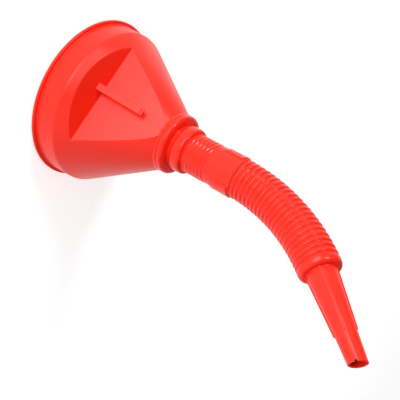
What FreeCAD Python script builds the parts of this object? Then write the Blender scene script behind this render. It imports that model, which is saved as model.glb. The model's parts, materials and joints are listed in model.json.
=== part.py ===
import FreeCAD, Part
import math
import os

# Fuel funnel with a flexible spout, in millimetres.
# It stands on its rim with the mouth down and the spout up, as it is stored.
# Origin: centre of the rim face. +Z runs from the mouth to the spout.
# The hanging hook faces -Y. The spout leans towards +X and a little towards -Y.

Vector = FreeCAD.Vector
Z_AXIS = Vector(0, 0, 1)
Y_AXIS = Vector(0, 1, 0)

# --- Bowl -------------------------------------------------------------------
wall = 1.6                    # moulded wall of the bowl
rim_radius = 75.0             # outside of the rim lip
rim_height = 3.0              # depth of the lip along the axis
band_low_radius = 72.0        # band just above the lip
band_top_radius = 71.3        # band where it meets the cone
shoulder_height = 22.5        # sharp corner of band and cone, before rounding
shoulder_round = 5.0
cone_end_height = 95.0        # where the spout's lip meets the cone
cone_end_radius = 26.4
nest_radius = 24.6            # part of the bowl that sits inside the first bead
nest_end_height = 100.4
spigot_radius = 15.6
spigot_start_height = 104.0
spigot_end_height = 126.0
spigot_bore = 14.0
ridge_radius = 18.4           # snap ridge on the spigot
ridge_height = 109.4
ridge_length = 3.4

# --- Recess and hook on the -Y side of the bowl -------------------------------
recess_chord_y = -41.8        # line where the recess wall meets its floor
recess_chord_height = 35.5
recess_floor_slope = 0.267    # the floor leans towards the axis, mm per mm of Z
recess_wall_slope = 0.217     # the wall drops outwards, mm per mm of -Y
hook_offset_x = -3.0
hook_width = 6.1
hook_thickness = 2.2
hook_gap = 5.5                # clear space between the hook and the floor
hook_length = 42.0            # from the recess wall to the free end
hook_groove = 1.0             # groove across the hook just before its end

# --- Strainer ----------------------------------------------------------------
strainer_seat_radius = 24.58  # short cylinder at the bottom of the cone
strainer_seat_start = 92.6
strainer_seat_height = 93.4   # ledge that the strainer is pushed against
throat_radius = 23.0          # between the ledge and the spigot
throat_end_height = 99.6
strainer_clearance = 0.08
strainer_height = 7.5
strainer_wall = 1.6
gauze_thickness = 0.5
gauze_edge = 0.7              # how far the gauze goes into the frame's groove

# --- Spout socket and grip tube ------------------------------------------------
fit_clearance = 0.06          # radial running clearance on the spigot
crease = 0.3                  # gap between the cone and the spout's lip
lip_radius = 27.1
lip_length = 2.6
bead_1_end = 104.1
bead_1_round = 6.0
groove_radius = 18.4
bead_2_start = 107.8
bead_2_end = 117.2
bead_2_radius = 20.8
tube_radius = 17.35
rib_first_height = 118.4
rib_pitch = 3.8
rib_count = 6
rib_depth = 0.3                # below and above the tube's own radius
pad_radius = 18.45            # two raised pads on opposite sides of the tube
pad_start = 148.5
pad_end = 166.4
pad_angle = 88.0
pad_turn = 21.0               # from the plane in which the hose bends

# --- Corrugated hose -----------------------------------------------------------
ring_count = 22
ring_pitch = 4.85
crest_radius = 17.55
root_bore = 14.7
hose_wall = 0.9
hose_start = 168.35
flex_gap = 1.2                # what two straight neighbours leave open at a root
bend_total = 37.8             # bend of the hose as stored, degrees
bend_grading = -0.11          # the bend eases a little towards the tip
spout_turn = -19.4            # plane of the bend, about +Z from +X

# --- Tip (lengths from the last root of the hose) ------------------------------
dome_end = 2.95
dome_radius = 16.9
tip_wall = 1.2
tip_base_radius = 12.0
fin_end = 53.45
tip_mid_radius = 8.4
tip_length = 76.75
tip_end_radius = 7.25
mouth_slant = 12.0            # the open end is cut oblique, degrees
fin_count = 4
fin_turn = 10.0
fin_width = 1.7
fin_height = 0.8
notch_width = 2.4
notch_depth = 1.4
notch_turn = -75.0


# --- Helpers ---------------------------------------------------------------------
def outline(corners):
    """Closed wire in the XZ plane from (radius, height) or (radius, height, round) corners."""
    points = [Vector(c[0], 0, c[1]) for c in corners]
    rounds = [c[2] if len(c) > 2 else 0.0 for c in corners]
    count = len(points)
    starts, ends, arcs = [], [], []
    for i, point in enumerate(points):
        back = points[i - 1].sub(point).normalize()
        ahead = points[(i + 1) % count].sub(point).normalize()
        if rounds[i] <= 0:
            starts.append(point)
            ends.append(point)
            arcs.append(None)
            continue
        half = back.getAngle(ahead) / 2
        reach = rounds[i] / math.tan(half)
        middle_way = back.add(ahead).normalize()
        centre_distance = rounds[i] / math.sin(half)
        start = point.add(Vector(back).multiply(reach))
        end = point.add(Vector(ahead).multiply(reach))
        middle = point.add(Vector(middle_way).multiply(centre_distance - rounds[i]))
        starts.append(start)
        ends.append(end)
        arcs.append(Part.Arc(start, middle, end).toShape())
    edges = []
    for i in range(count):
        if arcs[i] is not None:
            edges.append(arcs[i])
        following = starts[(i + 1) % count]
        if ends[i].distanceToPoint(following) > 1e-6:
            edges.append(Part.makeLine(ends[i], following))
    return Part.Wire(edges)


def turned(corners, angle=360.0):
    """Solid made by turning an outline about Z."""
    return Part.Face(outline(corners)).revolve(Vector(0, 0, 0), Z_AXIS, angle)


def prism(yz_points, x_from, x_to):
    """Solid with a polygon in the YZ plane, running along X."""
    points = [Vector(x_from, y, z) for y, z in yz_points]
    face = Part.Face(Part.makePolygon(points + points[:1]))
    return face.extrude(Vector(x_to - x_from, 0, 0))


def save(shape, node):
    """One closed solid per STEP file."""
    solid = shape.Solids[0]
    if len(shape.Solids) != 1 or not solid.isValid():
        raise ValueError(node + " is not one valid solid")
    solid.exportStep("parts/" + node + ".step")


# --- Bowl ---------------------------------------------------------------------------
def cone_radius(height):
    """Outside radius of the straight cone."""
    fall = (band_top_radius - cone_end_radius) / (cone_end_height - shoulder_height)
    return band_top_radius - fall * (height - shoulder_height)


def cone_angle():
    """Half angle of the cone, radians."""
    return math.atan2(band_top_radius - cone_end_radius, cone_end_height - shoulder_height)


def recess_cutter(inset):
    """Block behind the recess wall and floor, both moved into the bowl by inset."""
    far = 60.0
    floor_shift = inset * math.hypot(1, recess_floor_slope)
    wall_shift = inset * math.hypot(1, recess_wall_slope)
    # The floor is y = floor_y + slope * z; the wall is z = wall_z + slope * y.
    floor_y = recess_chord_y - recess_floor_slope * recess_chord_height + floor_shift
    wall_z = recess_chord_height - recess_wall_slope * recess_chord_y - wall_shift
    corner_y = (floor_y + recess_floor_slope * wall_z) / (1 - recess_floor_slope * recess_wall_slope)
    corner_z = wall_z + recess_wall_slope * corner_y
    top_z = corner_z + far + wall
    return prism([(corner_y, corner_z),
                  (corner_y - far, corner_z - recess_wall_slope * far),
                  (corner_y - far, top_z),
                  (floor_y + recess_floor_slope * top_z, top_z)],
                 -far, far)


def bowl_outside():
    ridge_top = ridge_height + ridge_length
    return turned([(0, 0),
                   (rim_radius, 0, 1.2),
                   (rim_radius, rim_height, 1.2),
                   (band_low_radius, rim_height, 0.8),
                   (band_top_radius, shoulder_height, shoulder_round),
                   (cone_end_radius, cone_end_height, 0.3),
                   (nest_radius, cone_end_height),
                   (nest_radius, nest_end_height, 1.0),
                   (spigot_radius, spigot_start_height, 1.0),
                   (spigot_radius, ridge_height),
                   (ridge_radius, ridge_height, 0.3),
                   (ridge_radius, ridge_top, 0.5),
                   (spigot_radius, ridge_top + 3.0),
                   (spigot_radius, spigot_end_height, 0.5),
                   (0, spigot_end_height)])


def bowl_inside():
    thin = wall / math.cos(cone_angle())
    band_inside = band_top_radius - wall
    fall = math.tan(cone_angle())
    inner_shoulder = shoulder_height - (band_inside + thin - band_top_radius) / fall
    cone_stop = cone_end_height - 3.0
    over = 1.0
    return turned([(0, -over),
                   (band_low_radius - wall, -over),
                   (band_low_radius - wall, rim_height),
                   (band_inside, inner_shoulder, shoulder_round - wall),
                   (cone_radius(cone_stop) - thin, cone_stop),
                   (strainer_seat_radius, strainer_seat_start),
                   (strainer_seat_radius, strainer_seat_height),
                   (throat_radius, strainer_seat_height),
                   (throat_radius, throat_end_height),
                   (spigot_bore, spigot_start_height - 0.8, 1.0),
                   (spigot_bore, spigot_end_height + over),
                   (0, spigot_end_height + over)])


def hook():
    """Flat bar from the recess wall, parallel to the recess floor, open at its end."""
    slant = math.hypot(1, recess_floor_slope)
    along = (recess_floor_slope / slant, 1 / slant)
    out = (-1 / slant, recess_floor_slope / slant)
    root = -1.2

    def at(distance, height):
        return (recess_chord_y + along[0] * distance + out[0] * height,
                recess_chord_height + along[1] * distance + out[1] * height)

    low = hook_gap
    high = hook_gap + hook_thickness
    groove_far = hook_length - 1.6
    groove_near = groove_far - hook_groove
    # The wall leans, so the bar's root reaches back further at its outer side.
    lean = (recess_floor_slope + recess_wall_slope) * high
    return prism([at(root - lean, low), at(hook_length, low), at(hook_length, high),
                  at(groove_far, high), at(groove_far, high - 0.6),
                  at(groove_near, high - 0.6), at(groove_near, high),
                  at(root - lean, high)],
                 hook_offset_x - hook_width / 2, hook_offset_x + hook_width / 2)


def bowl():
    outside = bowl_outside().cut(recess_cutter(0))
    inside = bowl_inside().cut(recess_cutter(wall))
    return outside.fuse(hook()).cut(inside).removeSplitter()


# --- Strainer --------------------------------------------------------------------------
def gauze_height():
    return strainer_seat_height - 2.2


def strainer_frame():
    outer = strainer_seat_radius - strainer_clearance
    inner = outer - strainer_wall
    top = strainer_seat_height - 0.1
    bottom = top - strainer_height
    groove = inner + gauze_edge
    low = gauze_height()
    ring = turned([(inner, bottom, 0.4), (outer, bottom, 0.4), (outer, top, 0.3),
                   (inner, top), (inner, low + gauze_thickness),
                   (groove, low + gauze_thickness), (groove, low), (inner, low)])
    bar_width = 3.0
    bar = Part.makeBox(2 * inner + strainer_wall, bar_width, 1.8,
                       Vector(-inner - strainer_wall / 2, -bar_width / 2, bottom))
    knob = Part.makeCylinder(3.2, 3.6, Vector(0, 0, bottom))
    return ring.fuse([bar, knob]).removeSplitter()


def strainer_gauze():
    radius = strainer_seat_radius - strainer_clearance - strainer_wall + gauze_edge
    return Part.makeCylinder(radius, gauze_thickness, Vector(0, 0, gauze_height()))


# --- Spout ------------------------------------------------------------------------------
def joint_bend(index):
    """Bend at one root of the hose as stored, degrees."""
    mean = bend_total / (ring_count + 1)
    return mean * (1 + bend_grading * (2.0 * index / ring_count - 1))


def station(index):
    """Placement of the root after ring number index: on the axis, facing along the hose."""
    x, z, heading = 0.0, hose_start, 0.0
    for i in range(index + 1):
        if i > 0:
            x += ring_pitch * math.sin(math.radians(heading))
            z += ring_pitch * math.cos(math.radians(heading))
        heading += joint_bend(i)
    bent = FreeCAD.Placement(Vector(x, 0, z), FreeCAD.Rotation(Y_AXIS, heading))
    turn = FreeCAD.Placement(Vector(0, 0, 0), FreeCAD.Rotation(Z_AXIS, spout_turn))
    return turn.multiply(bent)


def placed(shape, placement):
    copy = shape.copy()
    copy.Placement = placement
    return copy


def tube_ribs():
    """Corners of the low ribs around the tube, from the bowl end up."""
    corners = []
    for i in range(rib_count):
        low = rib_first_height + i * rib_pitch
        corners += [(tube_radius - rib_depth, low, 0.3),
                    (tube_radius + rib_depth, low + 0.9, 0.4),
                    (tube_radius + rib_depth, low + 2.0, 0.4),
                    (tube_radius - rib_depth, low + 2.9, 0.3)]
    return corners


def grip_pad():
    pad = turned([(tube_radius - 0.5, pad_start), (pad_radius, pad_start, 0.5),
                  (pad_radius, pad_end, 0.5), (tube_radius - 0.5, pad_end)], pad_angle)
    return placed(pad, FreeCAD.Placement(Vector(0, 0, 0),
                                         FreeCAD.Rotation(Z_AXIS, pad_turn - pad_angle / 2)))


def spout_socket():
    lip_start = cone_end_height + crease
    lip_end = lip_start + lip_length
    tube_end = hose_start - flex_gap / 2
    bore = spigot_radius + fit_clearance
    catch_low = ridge_height - 0.06
    catch_high = ridge_height + ridge_length + 0.2
    body = turned([(nest_radius + 0.1, lip_start),
                   (lip_radius, lip_start, 0.5),
                   (lip_radius, lip_end, 0.3),
                   (lip_radius - 0.7, lip_end + 0.3),
                   (lip_radius - 0.2, lip_end + 0.6),
                   (lip_radius - 0.2, bead_1_end, bead_1_round - 0.4),
                   (groove_radius, bead_1_end, 0.8),
                   (groove_radius, bead_2_start, 0.8),
                   (bead_2_radius, bead_2_start, 1.2),
                   (bead_2_radius, bead_2_end, 3.2),
                   (tube_radius - rib_depth, bead_2_end, 0.4)]
                  + tube_ribs()
                  + [(tube_radius, rib_first_height + rib_count * rib_pitch - 0.4),
                     (tube_radius, tube_end, 0.8),
                     (root_bore, tube_end),
                     (root_bore, tube_end - hose_wall),
                     (bore, tube_end - 3.0),
                     (bore, catch_high + 3.2),
                     (ridge_radius + 0.1, catch_high),
                     (ridge_radius + 0.1, catch_low),
                     (bore, catch_low),
                     (bore, spigot_start_height + 0.15, 0.8),
                     (nest_radius + 0.1, nest_end_height + 0.15, 1.0)])
    pad = grip_pad()
    opposite = placed(pad, FreeCAD.Placement(Vector(0, 0, 0), FreeCAD.Rotation(Z_AXIS, 180))
                      .multiply(pad.Placement))
    socket = body.fuse([pad, opposite]).removeSplitter()
    socket.rotate(Vector(0, 0, 0), Z_AXIS, spout_turn)
    return socket


def hose_ring():
    """One convolution, from just after its lower root to just before its upper root."""
    low = flex_gap / 2
    high = ring_pitch - flex_gap / 2
    crest_round = (high - low) / 2 - 0.02
    crest_inside = crest_radius - hose_wall
    bevel = 0.75                  # keeps the wall even behind the round crest
    return turned([(root_bore, low),
                   (crest_radius, low, crest_round),
                   (crest_radius, high, crest_round),
                   (root_bore, high),
                   (root_bore, high - hose_wall),
                   (crest_inside - bevel, high - hose_wall),
                   (crest_inside, high - hose_wall - bevel),
                   (crest_inside, low + hose_wall + bevel),
                   (crest_inside - bevel, low + hose_wall),
                   (root_bore, low + hose_wall)])


def tip_fin():
    """Fin in the plane y = 0, on the +X side of the tip."""
    sunk = 0.5
    start = dome_end - 0.8
    points = [Vector(tip_base_radius - sunk, -fin_width / 2, start),
              Vector(tip_base_radius + fin_height, -fin_width / 2, start),
              Vector(tip_mid_radius + fin_height, -fin_width / 2, fin_end),
              Vector(tip_mid_radius - sunk, -fin_width / 2, fin_end)]
    face = Part.Face(Part.makePolygon(points + points[:1]))
    return face.extrude(Vector(0, fin_width, 0))


def spout_tip():
    low = flex_gap / 2
    spare = 4.0
    end = tip_length + spare
    taper = (tip_mid_radius - tip_end_radius) / (tip_length - fin_end)
    end_radius = tip_end_radius - taper * spare
    tip = turned([(root_bore, low),
                  (dome_radius, low, 0.4),
                  (dome_radius, dome_end / 2, 0.8),
                  (dome_radius - 2.1, dome_end, 1.5),
                  (tip_base_radius, dome_end, 0.5),
                  (tip_mid_radius, fin_end),
                  (end_radius, end),
                  (end_radius - tip_wall, end),
                  (tip_mid_radius - tip_wall, fin_end),
                  (tip_base_radius - tip_wall, dome_end, 0.8),
                  (tip_base_radius, dome_end - tip_wall, 0.3),
                  (root_bore, dome_end - tip_wall)])
    fins = []
    for i in range(fin_count):
        fin = tip_fin()
        fin.rotate(Vector(0, 0, 0), Z_AXIS, fin_turn + i * 360.0 / fin_count)
        fins.append(fin)
    tip = tip.fuse(fins).removeSplitter()
    # The oblique cut leaves the side away from the bend longer.
    half = 30.0
    block = Part.makeBox(2 * half, 2 * half, half, Vector(-half, -half, 0))
    block.rotate(Vector(0, 0, 0), Y_AXIS, mouth_slant)
    block.translate(Vector(0, 0, tip_length))
    notch = Part.makeBox(tip_end_radius + 2, notch_width, 2 * notch_depth + 4,
                         Vector(0, -notch_width / 2, tip_length - notch_depth))
    notch.rotate(Vector(0, 0, 0), Z_AXIS, notch_turn)
    return tip.cut(block).cut(notch)


# --- Build ---------------------------------------------------------------------------------
os.makedirs("parts", exist_ok=True)
save(bowl(), "bowl")
save(strainer_frame(), "strainer_frame")
save(strainer_gauze(), "strainer_gauze")
save(spout_socket(), "spout_socket")
for number in range(ring_count):
    save(placed(hose_ring(), station(number)), "hose_ring_%02d" % (number + 1))
save(placed(spout_tip(), station(ring_count)), "spout_tip")
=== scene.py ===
import json
import math

import bmesh
import bpy
import numpy as np
from mathutils import Matrix, Vector


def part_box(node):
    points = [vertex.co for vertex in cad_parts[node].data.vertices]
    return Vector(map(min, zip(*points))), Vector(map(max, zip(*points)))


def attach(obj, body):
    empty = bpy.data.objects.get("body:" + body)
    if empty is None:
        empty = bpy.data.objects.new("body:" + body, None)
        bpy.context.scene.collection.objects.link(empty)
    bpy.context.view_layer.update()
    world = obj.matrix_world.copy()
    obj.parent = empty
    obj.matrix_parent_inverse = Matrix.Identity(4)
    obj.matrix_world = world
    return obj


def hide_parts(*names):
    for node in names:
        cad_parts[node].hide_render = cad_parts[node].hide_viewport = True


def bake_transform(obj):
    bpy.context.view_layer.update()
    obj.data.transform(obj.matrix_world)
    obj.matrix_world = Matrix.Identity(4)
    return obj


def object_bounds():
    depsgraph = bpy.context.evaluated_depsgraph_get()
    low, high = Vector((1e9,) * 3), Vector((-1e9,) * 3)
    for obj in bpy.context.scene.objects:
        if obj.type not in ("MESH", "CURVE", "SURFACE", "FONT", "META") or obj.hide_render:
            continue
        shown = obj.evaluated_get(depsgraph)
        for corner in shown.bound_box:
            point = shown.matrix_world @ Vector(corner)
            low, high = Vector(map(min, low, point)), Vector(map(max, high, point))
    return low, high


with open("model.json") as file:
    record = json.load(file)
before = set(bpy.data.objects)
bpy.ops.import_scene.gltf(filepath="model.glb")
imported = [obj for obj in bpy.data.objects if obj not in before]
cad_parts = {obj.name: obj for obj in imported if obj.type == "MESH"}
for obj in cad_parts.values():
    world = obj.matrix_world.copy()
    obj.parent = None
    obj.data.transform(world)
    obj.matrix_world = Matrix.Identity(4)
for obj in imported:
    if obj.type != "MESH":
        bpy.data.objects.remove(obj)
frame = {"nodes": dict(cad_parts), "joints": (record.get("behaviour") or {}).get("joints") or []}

# Looks of a red plastic fuel funnel with a flexible spout. Metres, +Z up, as in the frame.
# The funnel stands on its rim; the recess and its hook face -Y; the spout leans towards +X.

cad_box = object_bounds()
MM = 0.001
FULL_TURN = 2 * math.pi

# --- Places that come from the frame --------------------------------------------------
bowl_low, bowl_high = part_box("bowl")
socket_low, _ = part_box("spout_socket")
gauze_low, gauze_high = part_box("strainer_gauze")

rim_radius = (bowl_high.x - bowl_low.x) / 2
spigot_end = bowl_high.z
cone_end = socket_low.z - 0.3 * MM         # a fine crease stays open under the spout's lip
gauze_radius = (gauze_high.x - gauze_low.x) / 2
gauze_middle = (gauze_low.z + gauze_high.z) / 2

bends = [j for j in frame["joints"] if j["name"].startswith("hose_bend")]
roots = [Vector(j["pos_m"]) for j in bends]
bend_axis = Vector(bends[0]["axis"]).normalized()
lean = bend_axis.cross(Vector((0, 0, 1)))
lean_turn = math.atan2(lean.y, lean.x)
pitch = (roots[1] - roots[0]).length
# A root is straight at the low end of its range, so that end gives its bend as stored.
headings = [0.0]
for bend in bends:
    headings.append(headings[-1] - math.radians(bend["range_deg"][0]))


# --- Geometry helpers -----------------------------------------------------------------
def rounded(corners, steps=8):
    """Open line through corners of one plane. A corner is (radius, height), or with a third
    value the radius of its round, or with two more how far its round reaches back and ahead.
    A corner always gives the same number of points, however small its round is."""
    points = [np.array(corner[:2], float) for corner in corners]
    line = [points[0]]
    for i in range(1, len(points) - 1):
        point = points[i]
        if len(corners[i]) == 2:
            line.append(point)
            continue
        back, ahead = points[i - 1] - point, points[i + 1] - point
        back_length, ahead_length = np.linalg.norm(back), np.linalg.norm(ahead)
        back, ahead = back / back_length, ahead / ahead_length
        half = math.acos(np.clip(back @ ahead, -1, 1)) / 2
        if len(corners[i]) == 3:
            reach_back = reach_ahead = corners[i][2] / math.tan(half)
        else:
            reach_back, reach_ahead = corners[i][2:]
        reach_back = min(reach_back, 0.46 * back_length)
        reach_ahead = min(reach_ahead, 0.46 * ahead_length)
        first = point + back * reach_back
        last = point + ahead * reach_ahead
        # A line just outside the round keeps the flat beside it flat in the shading.
        line.append(point + back * min(1.25 * reach_back, 0.48 * back_length))
        for k in range(steps + 1):
            t = k / steps
            pull = 2 * math.sin(half) * t * (1 - t)
            total = (1 - t) ** 2 + pull + t ** 2
            line.append(((1 - t) ** 2 * first + pull * point + t ** 2 * last) / total)
        line.append(point + ahead * min(1.25 * reach_ahead, 0.48 * ahead_length))
    line.append(points[-1])
    return line


def step_up(value, start, end):
    """0 before start, 1 after end, smooth between."""
    t = min(max((value - start) / (end - start), 0.0), 1.0)
    return t * t * (3 - 2 * t)


def window(value, half_width, edge):
    """1 inside half_width of zero, falling to 0 over edge outside it."""
    return 1 - step_up(abs(value), half_width, half_width + edge)


def between(angle, other):
    """Signed difference of two angles, within half a turn."""
    return (angle - other + math.pi) % FULL_TURN - math.pi


def turn_angles(step, fine_step, places, reach):
    """Angles of a full turn, fine within reach of some places. All in degrees, out in radians."""
    found = set()
    for k in range(round(360 / fine_step)):
        angle = k * fine_step
        near = any(abs((angle - place + 180) % 360 - 180) <= reach for place in places)
        if near or abs(angle / step - round(angle / step)) < 1e-6:
            found.add(angle)
    return [math.radians(angle) for angle in sorted(found)]


def upright(radius, angle, height):
    return (radius * math.cos(angle), radius * math.sin(angle), height)


def mesh_object(name, verts, faces, sharp_angle=35):
    mesh = bpy.data.meshes.new(name)
    mesh.from_pydata(verts, [], faces)
    mesh.shade_smooth()
    mesh.set_sharp_from_angle(angle=math.radians(sharp_angle))
    piece = bpy.data.objects.new(name, mesh)
    bpy.context.scene.collection.objects.link(piece)
    return piece


def shell(name, loops, place):
    """Closed shell round an axis from closed meridians. Each is a list of (radius, angle,
    height) that runs along the outside towards +height and back along the inside."""
    count = len(loops[0])
    verts = [place(*point) for loop in loops for point in loop]
    faces = []
    for k in range(len(loops)):
        here = k * count
        there = (k + 1) % len(loops) * count
        for j in range(count):
            following = (j + 1) % count
            faces.append((here + j, there + j, there + following, here + following))
    return mesh_object(name, verts, faces)


def turned(name, meridian_at, angles, place=upright):
    return shell(name, [[(r, angle, h) for r, h in meridian_at(angle)] for angle in angles], place)


# --- Materials ------------------------------------------------------------------------
def new_material(name):
    material = bpy.data.materials.new(name)
    material.use_nodes = True
    tree = material.node_tree
    tree.nodes.clear()
    output = tree.nodes.new("ShaderNodeOutputMaterial")
    shader = tree.nodes.new("ShaderNodeBsdfPrincipled")
    tree.links.new(shader.outputs["BSDF"], output.inputs["Surface"])
    place = tree.nodes.new("ShaderNodeTexCoord")
    return material, tree, shader, place.outputs["Object"]


def noise(tree, place, scale, detail=2.0):
    node = tree.nodes.new("ShaderNodeTexNoise")
    node.inputs["Scale"].default_value = scale
    node.inputs["Detail"].default_value = detail
    tree.links.new(place, node.inputs["Vector"])
    return node.outputs["Fac"]


def spread(tree, value, low, high):
    """Noise, which lies mostly between 0.3 and 0.7, stretched to run from low to high."""
    node = tree.nodes.new("ShaderNodeMapRange")
    node.inputs["From Min"].default_value = 0.3
    node.inputs["From Max"].default_value = 0.7
    node.inputs["To Min"].default_value = low
    node.inputs["To Max"].default_value = high
    tree.links.new(value, node.inputs["Value"])
    return node.outputs["Result"]


def mixed_colour(tree, value, colour_a, colour_b):
    node = tree.nodes.new("ShaderNodeMix")
    node.data_type = "RGBA"
    node.inputs[6].default_value = (*colour_a, 1)
    node.inputs[7].default_value = (*colour_b, 1)
    tree.links.new(value, node.inputs[0])
    return node.outputs[2]


def bump(tree, shader, height, distance, strength):
    node = tree.nodes.new("ShaderNodeBump")
    node.inputs["Distance"].default_value = distance
    node.inputs["Strength"].default_value = strength
    tree.links.new(height, node.inputs["Height"])
    tree.links.new(node.outputs["Normal"], shader.inputs["Normal"])


def red_plastic(name, colour, shade, gloss, peel_scale):
    """Satin moulded plastic: faint clouding of the pigment, uneven gloss and orange peel."""
    material, tree, shader, place = new_material(name)
    clouds = noise(tree, place, 22.0, 3.0)
    tree.links.new(mixed_colour(tree, clouds, colour, shade), shader.inputs["Base Color"])
    patches = noise(tree, place, 60.0, 4.0)
    tree.links.new(spread(tree, patches, gloss - 0.04, gloss + 0.05), shader.inputs["Roughness"])
    shader.inputs["IOR"].default_value = 1.45
    shader.inputs["Specular IOR Level"].default_value = 0.38
    bump(tree, shader, noise(tree, place, peel_scale), 0.0002, 0.12)
    return material


def brass_wire(name):
    material, tree, shader, place = new_material(name)
    tarnish = noise(tree, place, 90.0, 3.0)
    colour = mixed_colour(tree, tarnish, (0.76, 0.56, 0.22), (0.52, 0.36, 0.13))
    tree.links.new(colour, shader.inputs["Base Color"])
    shader.inputs["Metallic"].default_value = 1.0
    tree.links.new(spread(tree, tarnish, 0.25, 0.45), shader.inputs["Roughness"])
    bump(tree, shader, noise(tree, place, 2500.0), 0.00003, 0.3)
    return material


def plain_floor(name):
    material, tree, shader, place = new_material(name)
    tone = noise(tree, place, 1.5)
    colour = mixed_colour(tree, tone, (0.90, 0.90, 0.90), (0.88, 0.88, 0.885))
    tree.links.new(colour, shader.inputs["Base Color"])
    shader.inputs["Roughness"].default_value = 0.9
    shader.inputs["Specular IOR Level"].default_value = 0.1
    # A faint glow keeps the ground white near the funnel; it fades towards the backdrop.
    near_end, far_end = 0.6, 4.5
    near_glow, far_glow = 0.55, 0.34
    far = tree.nodes.new("ShaderNodeVectorMath")
    far.operation = "LENGTH"
    tree.links.new(place, far.inputs[0])
    glow = tree.nodes.new("ShaderNodeMapRange")
    glow.interpolation_type = "SMOOTHSTEP"
    glow.inputs["From Min"].default_value = near_end
    glow.inputs["From Max"].default_value = far_end
    glow.inputs["To Min"].default_value = near_glow
    glow.inputs["To Max"].default_value = far_glow
    tree.links.new(far.outputs["Value"], glow.inputs["Value"])
    tree.links.new(glow.outputs["Result"], shader.inputs["Emission Strength"])
    shader.inputs["Emission Color"].default_value = (1.0, 1.0, 1.0, 1)
    material.cycles.emission_sampling = "NONE"
    return material


bowl_red = red_plastic("bowl_red", (0.93, 0.020, 0.005), (0.88, 0.017, 0.004), 0.34, 900.0)
spout_red = red_plastic("spout_red", (0.93, 0.020, 0.006), (0.88, 0.017, 0.005), 0.24, 700.0)
strainer_red = red_plastic("strainer_red", (0.90, 0.035, 0.015), (0.82, 0.028, 0.012),
                           0.42, 900.0)
gauze_brass = brass_wire("gauze_brass")


def dress(piece, material):
    piece.data.materials.clear()
    piece.data.materials.append(material)


# --- Bowl -----------------------------------------------------------------------------
wall = 1.6 * MM
lip_height = 3.0 * MM
band_low = rim_radius - 3.0 * MM
band_top = rim_radius - 3.7 * MM
shoulder = 22.5 * MM
cone_end_radius = 26.4 * MM
nest_radius = 24.6 * MM
spigot_radius = 15.6 * MM
spigot_bore = 14.0 * MM
seat_radius = 24.58 * MM
seat_low, seat_high = 92.6 * MM, 93.4 * MM
throat_radius = 23.0 * MM
throat_end = 99.6 * MM
nest_top = 100.4 * MM          # from here the spigot narrows up to its straight part
spigot_start = 104.0 * MM
snap_start = 109.4 * MM        # the snap ridge that holds the spout
snap_rise = 2.8 * MM
cone_fall = (band_top - cone_end_radius) / (cone_end - shoulder)

# The recess: its wall and its floor meet in a chord, seen as a line on the -Y side.
chord_out = 41.8 * MM
chord_height = 35.5 * MM
floor_slope = 0.267
wall_slope = 0.217
recess_facing = -90.0          # degrees about +Z from +X
recess_round = 0.8 * MM


def crossing(p, way_p, q, way_q):
    """Where two lines of the meridian plane meet."""
    across = way_p[0] * way_q[1] - way_p[1] * way_q[0]
    along = ((q[0] - p[0]) * way_q[1] - (q[1] - p[1]) * way_q[0]) / across
    return np.array([p[0] + way_p[0] * along, p[1] + way_p[1] * along])


def recess_floor_radius(angle, height, inset):
    """How far from the axis the recess floor is, in the meridian plane at angle."""
    facing = math.cos(between(angle, math.radians(recess_facing)))
    if facing < 0.2:
        return math.inf
    floor = chord_out - inset * math.hypot(1, floor_slope) - floor_slope * (height - chord_height)
    return floor / facing


def recess_line(angle, inset, top):
    """Three corners in the meridian plane: the cone's edge above the recess wall, the chord,
    and where the floor runs out. Away from the recess they lie close together on the cone."""
    cone = (band_top - inset * math.hypot(1, cone_fall), shoulder)
    gap = 0.35 * MM
    flat = [np.array([cone[0] - cone_fall * (chord_height + k * gap - shoulder),
                      chord_height + k * gap]) for k in (-1, 0, 1)]
    facing = math.cos(between(angle, math.radians(recess_facing)))
    if facing < 0.5:
        return flat, False
    floor = (recess_floor_radius(angle, chord_height, inset), chord_height)
    floor_way = (-floor_slope / facing, 1.0)
    wall_height = chord_height - inset * math.hypot(1, wall_slope)
    wall_line = (chord_out / facing, wall_height)
    wall_way = (1.0, -wall_slope * facing)
    lip = crossing(cone, (-cone_fall, 1.0), wall_line, wall_way)
    chord = crossing(floor, floor_way, wall_line, wall_way)
    end = crossing(floor, floor_way, cone, (-cone_fall, 1.0))
    last = top - 0.6 * MM
    if end[1] > last:
        end = np.array([recess_floor_radius(angle, last, inset), last])
    if lip[0] - chord[0] < gap or end[1] - chord[1] < gap:
        return flat, False
    return [lip, chord, end], True


def recess_corners(angle, inset, top):
    """The three corners with rounds that are as wide as they look straight across the edge."""
    corners, cut = recess_line(angle, inset, top)
    if not cut:
        tiny = 0.1 * MM
        return [(*corner, tiny, tiny) for corner in corners]
    turn = math.radians(0.1)
    near, near_cut = recess_line(angle + turn, inset, top)
    if not near_cut:
        turn = -turn
        near, near_cut = recess_line(angle + turn, inset, top)
    out = []
    for i, corner in enumerate(corners):
        run = np.array([near[i][0] - corner[0], corner[0] * turn, near[i][1] - corner[1]])
        run = run / np.linalg.norm(run)
        reaches = []
        for other in (corners[i - 1] if i > 0 else corner + (cone_fall, -1.0),
                      corners[i + 1] if i < 2 else corner + (-cone_fall, 1.0)):
            leg = (other - corner) / np.linalg.norm(other - corner)
            along = leg[0] * run[0] + leg[1] * run[2]
            reaches.append(recess_round / max(math.sqrt(max(1 - along ** 2, 0)), 0.15))
        out.append((*corner, *reaches))
    return out


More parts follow.
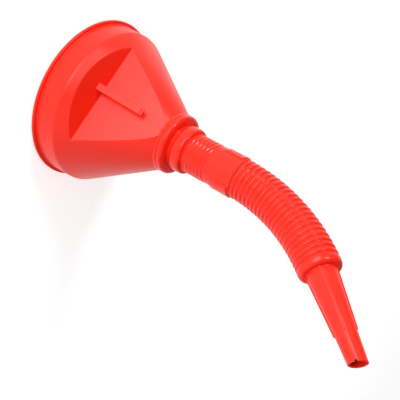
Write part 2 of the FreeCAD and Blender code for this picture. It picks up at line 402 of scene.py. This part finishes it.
def bowl_meridian(angle):
    thin = wall * math.hypot(1, cone_fall)
    cone_stop = cone_end - 3.0 * MM
    stop_radius = cone_end_radius + cone_fall * (cone_end - cone_stop) - thin
    inner_shoulder = shoulder - (thin - wall) / cone_fall
    outside = rounded([(band_low - wall, 0.0),
                       (rim_radius, 0.0, 1.2 * MM),
                       (rim_radius, lip_height, 1.2 * MM),
                       (band_low, lip_height, 0.8 * MM),
                       (band_top, shoulder, 5.0 * MM),
                       *recess_corners(angle, 0.0, cone_end),
                       (min(cone_end_radius, recess_floor_radius(angle, cone_end, 0.0)),
                        cone_end, 0.2 * MM),
                       (nest_radius, cone_end),
                       (nest_radius, nest_top, 1.0 * MM),
                       (spigot_radius, spigot_start, 1.0 * MM),
                       (spigot_radius, snap_start),
                       (spigot_radius + snap_rise, snap_start, 0.3 * MM),
                       (spigot_radius + snap_rise, snap_start + 3.4 * MM, 0.5 * MM),
                       (spigot_radius, snap_start + 6.4 * MM),
                       (spigot_radius, spigot_end, 0.5 * MM),
                       (spigot_bore, spigot_end)])
    inside = rounded([(band_low - wall, lip_height),
                      (band_top - wall, inner_shoulder, 3.4 * MM),
                      *recess_corners(angle, wall, cone_stop),
                      (min(stop_radius, recess_floor_radius(angle, cone_stop, wall)), cone_stop),
                      (seat_radius, seat_low),
                      (seat_radius, seat_high),
                      (throat_radius, seat_high),
                      (throat_radius, throat_end),
                      (spigot_bore, throat_end + 3.6 * MM)])
    return outside + inside[::-1]


recess_corner = 43             # degrees from the middle of the recess to its corners
bowl_angles = turn_angles(1.0, 0.25, (recess_facing + recess_corner,
                                      recess_facing - recess_corner), 7.0)
bowl_shell = turned("bowl_shell", bowl_meridian, bowl_angles)
dress(bowl_shell, bowl_red)
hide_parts("bowl")
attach(bowl_shell, "bowl")


def hook_bar():
    """Flat bar from the recess wall, parallel to the recess floor, with its edges eased."""
    offset, width = -3.0 * MM, 6.1 * MM
    low, high = 5.5 * MM, 7.7 * MM
    length, sunk = 42.0 * MM, 1.2 * MM
    groove_far, groove_near, groove_floor = 40.4 * MM, 39.4 * MM, high - 0.6 * MM
    slant = math.hypot(1, floor_slope)
    root = -sunk - (floor_slope + wall_slope) * high
    profile = [(root, low), (length, low), (length, high), (groove_far, high),
               (groove_far, groove_floor), (groove_near, groove_floor), (groove_near, high),
               (root, high)]
    side = []
    for along, out in profile:
        side.append((-chord_out + (floor_slope * along - out) / slant,
                     chord_height + (along + floor_slope * out) / slant))
    mesh = bmesh.new()
    left = [mesh.verts.new((offset - width / 2, y, z)) for y, z in side]
    right = [mesh.verts.new((offset + width / 2, y, z)) for y, z in side]
    mesh.faces.new(left)
    mesh.faces.new(right[::-1])
    for i in range(len(side)):
        j = (i + 1) % len(side)
        mesh.faces.new((left[i], right[i], right[j], left[j]))
    bmesh.ops.bevel(mesh, geom=list(mesh.edges), offset=0.28 * MM, segments=3, profile=0.5,
                    affect="EDGES", clamp_overlap=True)
    bmesh.ops.recalc_face_normals(mesh, faces=list(mesh.faces))
    data = bpy.data.meshes.new("hook_bar")
    mesh.to_mesh(data)
    mesh.free()
    data.shade_smooth()
    data.set_sharp_from_angle(angle=math.radians(50))
    piece = bpy.data.objects.new("hook_bar", data)
    bpy.context.scene.collection.objects.link(piece)
    flat = piece.modifiers.new("even_flats", "WEIGHTED_NORMAL")
    flat.keep_sharp = True
    return piece


hook = hook_bar()
dress(hook, bowl_red)
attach(hook, "bowl")

# --- Strainer -------------------------------------------------------------------------
strainer_frame = frame["nodes"]["strainer_frame"]
dress(strainer_frame, strainer_red)


def woven_gauze():
    """Plain weave of fine wires, cut to the round of the frame's groove."""
    wire, mesh_pitch, sides, samples = 0.11 * MM, 1.4 * MM, 6, 4
    swing = (gauze_high.z - gauze_low.z) / 2 - wire
    verts, faces = [], []
    count = math.floor(gauze_radius / mesh_pitch - 0.1)
    for family in (0, 1):
        for row in range(-count, count + 1):
            offset = row * mesh_pitch
            reach = math.sqrt(gauze_radius ** 2 - offset ** 2) - wire
            steps = math.ceil(2 * reach / mesh_pitch * samples)
            start = len(verts)
            for k in range(steps + 1):
                along = reach * (2 * k / steps - 1)
                phase = math.pi * (along / mesh_pitch + row + family)
                height = gauze_middle + swing * math.cos(phase)
                for s in range(sides):
                    turn = FULL_TURN * s / sides
                    across = offset + wire * math.cos(turn)
                    z = height + wire * math.sin(turn)
                    verts.append((along, across, z) if family == 0 else (across, -along, z))
            for k in range(steps):
                for s in range(sides):
                    a = start + k * sides + s
                    b = start + k * sides + (s + 1) % sides
                    faces.append((a, a + sides, b + sides, b))
            faces.append(tuple(start + s for s in range(sides)))
            faces.append(tuple(start + steps * sides + s for s in reversed(range(sides))))
    return mesh_object("gauze_wires", verts, faces, 60)


gauze = woven_gauze()
dress(gauze, gauze_brass)
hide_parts("strainer_gauze")
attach(gauze, "strainer")

# --- Spout: lip, beads and grip tube --------------------------------------------------
tube_radius = 17.35 * MM
tube_stop = roots[0].z - 1.4 * MM          # from here on the flexible skin takes over
pad_height, pad_edge = 1.1 * MM, 0.4 * MM
pad_half_turn = math.radians(44.0)
pad_blend = math.radians(1.6)
pad_turn = lean_turn + math.radians(21.0)
pad_low, pad_high = 148.5 * MM, 166.4 * MM
rib_first, rib_pitch, rib_count = 118.4 * MM, 3.8 * MM, 6
rib_depth = 0.3 * MM
hose_bore = 14.7 * MM
hose_crest = 17.55 * MM
hose_wall = 0.9 * MM


def socket_meridian(angle):
    lip_low = socket_low.z
    lip_high = lip_low + 2.6 * MM
    lip_radius = 27.1 * MM
    bead_radius = lip_radius - 0.2 * MM
    groove_radius = 18.4 * MM
    bead_top = 104.1 * MM
    second_low, second_top, second_radius = 107.8 * MM, 117.2 * MM, 20.8 * MM
    catch_low, catch_high, catch_radius = 109.3 * MM, 113.0 * MM, spigot_radius + 2.9 * MM
    bore = spigot_radius + 0.06 * MM
    off_pad = min(abs(between(angle, pad_turn)), abs(between(angle, pad_turn + math.pi)))
    pad = pad_height * window(off_pad, pad_half_turn - pad_blend, pad_blend)
    ribs = []
    for k in range(rib_count):
        low = rib_first + k * rib_pitch
        ribs += [(tube_radius - rib_depth, low, 0.3 * MM),
                 (tube_radius + rib_depth, low + 0.9 * MM, 0.4 * MM),
                 (tube_radius + rib_depth, low + 2.0 * MM, 0.4 * MM),
                 (tube_radius - rib_depth, low + 2.9 * MM, 0.3 * MM)]
    outside = rounded([(nest_radius + 0.1 * MM, lip_low),
                       (lip_radius, lip_low, 0.5 * MM),
                       (lip_radius, lip_high, 0.3 * MM),
                       (lip_radius - 0.7 * MM, lip_high + 0.3 * MM, 0.1 * MM),
                       (bead_radius, lip_high + 0.6 * MM, 0.15 * MM),
                       (bead_radius, bead_top, 5.4 * MM),
                       (groove_radius, bead_top, 0.8 * MM),
                       (groove_radius, second_low, 0.8 * MM),
                       (second_radius, second_low, 1.2 * MM),
                       (second_radius, second_top, 3.2 * MM),
                       (tube_radius - rib_depth, second_top, 0.4 * MM),
                       *ribs,
                       (tube_radius, rib_first + rib_count * rib_pitch, 0.3 * MM),
                       (tube_radius, pad_low, 0.2 * MM),
                       (tube_radius + pad, pad_low + pad_edge, 0.4 * MM),
                       (tube_radius + pad, pad_high - pad_edge, 0.4 * MM),
                       (tube_radius, pad_high, 0.1 * MM),
                       (tube_radius, tube_stop)], 6)
    inside = rounded([(nest_radius + 0.1 * MM, 100.6 * MM),
                      (bore, 104.2 * MM, 0.8 * MM),
                      (bore, catch_low),
                      (catch_radius, catch_low),
                      (catch_radius, catch_high),
                      (bore, 116.2 * MM),
                      (bore, tube_stop - 1.6 * MM),
                      (hose_bore, tube_stop)], 6)
    return outside + inside[::-1]


pad_edges = [math.degrees(pad_turn + side * pad_half_turn + half)
             for side in (-1, 1) for half in (0, math.pi)]
socket_angles = turn_angles(2.0, 0.25, pad_edges, 2.5)
socket_shell = turned("spout_socket_shell", socket_meridian, socket_angles)
dress(socket_shell, spout_red)
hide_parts("spout_socket")
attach(socket_shell, "spout_base")


# --- Spout: flexible skin -------------------------------------------------------------
def heading_way(heading):
    """Direction along the hose where it has turned by heading from +Z."""
    return Vector((0, 0, 1)) * math.cos(heading) + lean * math.sin(heading)


def side_way(heading):
    """Direction across the hose, in the plane of its bend."""
    return lean * math.cos(heading) - Vector((0, 0, 1)) * math.sin(heading)


bend_reach = 1.2 * MM          # the skin flexes this far on both sides of a root
skin_step = 3.75               # degrees round the hose
wave_depth = 1.1 * MM
collar_start = 1.25 * MM       # where the skin ends, on the tip's collar
collar_radius = 16.9 * MM


def wave(along):
    """Outside radius of the skin from one crest to the next, with the root at zero."""
    return hose_crest - wave_depth * abs(math.cos(math.pi * along / pitch)) ** 4


def shoulder_skin(along):
    """Outside radius where the skin runs smoothly from the last crest into the tip's collar."""
    share = (along + pitch / 2) / (pitch / 2 + collar_start)
    return hose_crest - (hose_crest - collar_radius) * share ** 2


def flex_meridian(first, last):
    """Skin from first to last along the hose, closed: along the outside and back inside."""
    steps = 12
    radius = wave if last == pitch / 2 else shoulder_skin
    before = [(radius(first * (1 - i / steps)), first * (1 - i / steps)) for i in range(steps)]
    after = [(radius(last * i / steps), last * i / steps) for i in range(steps + 1)]
    inside = [(r - hose_wall, h) for r, h in before + after]
    if first > -pitch / 2:
        before = rounded([(tube_radius, first), (tube_radius, -0.75 * MM, 0.3 * MM),
                          (wave(0.2 * MM), -0.2 * MM)], 4)
        inside = [(hose_bore, first)] + [(r - hose_wall, h) for r, h in after]
    if last < pitch / 2:
        inside[-1] = (hose_bore, last)
    return before + after + inside[::-1]


def flex_piece(k):
    """Skin across root k, from the middle of one crest to the middle of the next."""
    first = tube_stop - roots[0].z if k == 0 else -pitch / 2
    last = collar_start if k == len(roots) - 1 else pitch / 2
    before, after = headings[k], headings[k + 1]

    def place(radius, angle, along):
        heading = before + (after - before) * step_up(along, -bend_reach, bend_reach)
        centre = roots[k] + heading_way(before if along < 0 else after) * along
        across = side_way(heading) * math.cos(angle) + bend_axis * math.sin(angle)
        return centre + across * radius

    meridian = flex_meridian(first, last)
    angles = turn_angles(skin_step, skin_step, (), 0)
    piece = turned("spout_flex_%02d" % k, lambda angle: meridian, angles, place)
    dress(piece, spout_red)
    if k > 0:
        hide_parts("hose_ring_%02d" % k)
    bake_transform(piece)
    return piece


for k in range(len(roots)):
    flex_piece(k)

# --- Spout: tip (lengths from the last root of the hose) ------------------------------
dome_end = 2.95 * MM
tip_base, tip_mid, tip_end = 12.0 * MM, 8.4 * MM, 7.25 * MM
fin_end = 53.45 * MM
tip_length = 76.75 * MM
tip_wall = 1.2 * MM
mouth_wall = 1.7 * MM
mouth_slant = math.tan(math.radians(12.0))
fin_count, fin_turn = 4, math.radians(10.0)
fin_half, fin_edge, fin_height = 0.6 * MM, 0.35 * MM, 0.8 * MM
fin_reach = 2.0 * MM           # the fine columns beside a fin end here
notch_fin, notch_offset = 3, 0.63 * MM       # the notch is beside the fourth fin
notch_half, notch_edge, notch_depth = 1.1 * MM, 0.2 * MM, 1.4 * MM


def tip_radius(height):
    """Outside of the tip without its fins, from the end of the dome on."""
    if height < fin_end:
        return tip_base + (tip_mid - tip_base) * (height - dome_end) / (fin_end - dome_end)
    return tip_mid + (tip_end - tip_mid) * (height - fin_end) / (tip_length - fin_end)


def tip_columns():
    """Columns of the tip as (fin, offset, share): offset from the fin in metres, then share of
    the way over to the next fin's first column."""
    near = [x * MM for x in (0, 0.3, 0.55, 0.65, 0.75, 0.85, 0.95, 1.05,
                             1.3, 1.6, 1.75, 1.85)] + [fin_reach]
    offsets = [-x for x in near[:0:-1]] + near
    columns = []
    for fin in range(fin_count):
        columns += [(fin, offset, 0.0) for offset in offsets]
        columns += [(fin, offsets[-1], k / 10) for k in range(1, 10)]
    return columns


def tip_loop(fin, offset, share):
    """Meridian of one column, with its angle at every height."""
    on_fin = window(offset, fin_half, fin_edge) if share == 0 else 0.0
    fin_rise = fin_height * on_fin
    turn = fin_turn + fin * FULL_TURN / fin_count

    def angle_at(height):
        radius = tip_radius(max(height, dome_end))
        between_fins = FULL_TURN / fin_count - 2 * fin_reach / radius
        return turn + offset / radius + share * between_fins

    end_angle = angle_at(tip_length)
    end_height = tip_length - tip_end * math.cos(end_angle) * mouth_slant
    if fin == notch_fin and share == 0:
        end_height -= (end_height - tip_length + notch_depth) * window(
            offset - notch_offset, notch_half, notch_edge)
    outside = rounded([(collar_radius, collar_start),
                       (collar_radius - 0.35 * MM, 1.8 * MM, 0.3 * MM, 0.3 * MM),
                       (collar_radius - 1.1 * MM, 2.6 * MM, 0.4 * MM, 0.4 * MM),
                       (collar_radius - 2.2 * MM, dome_end, 0.4 * MM, 0.8 * MM),
                       (tip_base + fin_rise, dome_end, 0.5 * MM),
                       (tip_mid + fin_rise, fin_end - 0.3 * MM, 0.15 * MM),
                       (tip_mid, fin_end, 0.1 * MM),
                       (tip_radius(end_height), end_height, 0.3 * MM),
                       (tip_radius(end_height) - mouth_wall, end_height)])
    inside = rounded([(hose_bore, collar_start),
                      (hose_bore, dome_end - tip_wall),
                      (tip_base, dome_end - tip_wall, 0.3 * MM),
                      (tip_base - tip_wall, dome_end, 0.6 * MM),
                      (tip_mid - tip_wall, fin_end),
                      (tip_radius(end_height) - mouth_wall, end_height - 0.2 * MM)], 5)
    return [(r, angle_at(h), h) for r, h in outside + inside[::-1]]


def tip_place(radius, angle, along):
    heading = headings[-1]
    across = side_way(heading) * math.cos(angle) + bend_axis * math.sin(angle)
    return roots[-1] + heading_way(heading) * along + across * radius


tip_shell = shell("spout_tip_shell", [tip_loop(*column) for column in tip_columns()], tip_place)
dress(tip_shell, spout_red)
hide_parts("spout_tip")
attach(tip_shell, "spout_tip")

# --- Floor ----------------------------------------------------------------------------
def backdrop():
    """Flat round floor that curves up far away from the funnel."""
    flat, reach, rise, sides, steps = 3.0, 6.0, 2.2, 96, 12
    rings = [(flat, 0.0)]
    for k in range(1, steps + 1):
        share = k / steps
        height = rise * (1 - math.cos(0.5 * math.pi * share))
        rings.append((flat + (reach - flat) * share, height))
    verts = [(0.0, 0.0, 0.0)]
    for radius, height in rings:
        verts += [upright(radius, FULL_TURN * s / sides, height) for s in range(sides)]
    faces = [(0, 1 + s, 1 + (s + 1) % sides) for s in range(sides)]
    for k in range(len(rings) - 1):
        low, high = 1 + k * sides, 1 + (k + 1) * sides
        faces += [(low + s, high + s, high + (s + 1) % sides, low + (s + 1) % sides)
                  for s in range(sides)]
    return mesh_object("floor", verts, faces, 60)


floor_gap = 0.0002
floor = backdrop()
floor.location.z = cad_box[0].z - floor_gap
floor.data.materials.append(plain_floor("floor_pale"))

# --- Camera: the side with the recess, from above, with the funnel lying across the view
camera_at = Vector((0.09076, -0.53658, 0.40899))
camera_right = Vector((-0.5389, 0.3209, 0.7788))
camera_up = Vector((-0.8366, -0.3118, -0.4504))
camera_back = camera_right.cross(camera_up).normalized()
camera_up = camera_back.cross(camera_right).normalized()
camera_right = camera_up.cross(camera_back)
camera_data = bpy.data.cameras.new("camera")
camera_data.sensor_width = 36.0
camera_data.lens = 65.37
camera_data.clip_start = 0.02
camera = bpy.data.objects.new("camera", camera_data)
turn = Matrix((camera_right, camera_up, camera_back)).transposed().to_4x4()
camera.matrix_world = Matrix.Translation(camera_at) @ turn
bpy.context.scene.collection.objects.link(camera)
bpy.context.scene.camera = camera

# --- Light ----------------------------------------------------------------------------
def placed_light(name, kind, location, way, energy):
    """Light that shines against way, hidden from the camera."""
    light_data = bpy.data.lights.new(name, kind)
    light_data.energy = energy
    light = bpy.data.objects.new(name, light_data)
    light.location = location
    light.rotation_mode = "QUATERNION"
    light.rotation_quaternion = way.normalized().to_track_quat("Z", "Y")
    light.visible_camera = False
    bpy.context.scene.collection.objects.link(light)
    return light_data


middle = (cad_box[0] + cad_box[1]) / 2
key_way = Vector((-0.675, -0.546, 0.497))
key = placed_light("key", "SUN", middle + key_way * 2, key_way, 1.05)
key.angle = math.radians(14)
fill_way = Vector((0.75, -0.35, 0.55))
fill = placed_light("fill", "SUN", middle + fill_way * 2, fill_way, 0.45)
fill.angle = math.radians(50)
# Low and wide, so that the recess floor mirrors it towards the camera.
box_at = Vector((-0.2, -1.1, 0.2))
soft_box = placed_light("soft_box", "AREA", box_at, Vector((-0.2, -1.1, 0.1)), 6.5)
soft_box.shape = "RECTANGLE"
soft_box.size = 0.8
soft_box.size_y = 0.36

world = bpy.data.worlds.new("studio")
world.use_nodes = True
background = world.node_tree.nodes["Background"]
background.inputs["Color"].default_value = (1.0, 1.0, 1.0, 1)
background.inputs["Strength"].default_value = 0.24
bpy.context.scene.world = world
bpy.context.scene.view_settings.view_transform = "Standard"
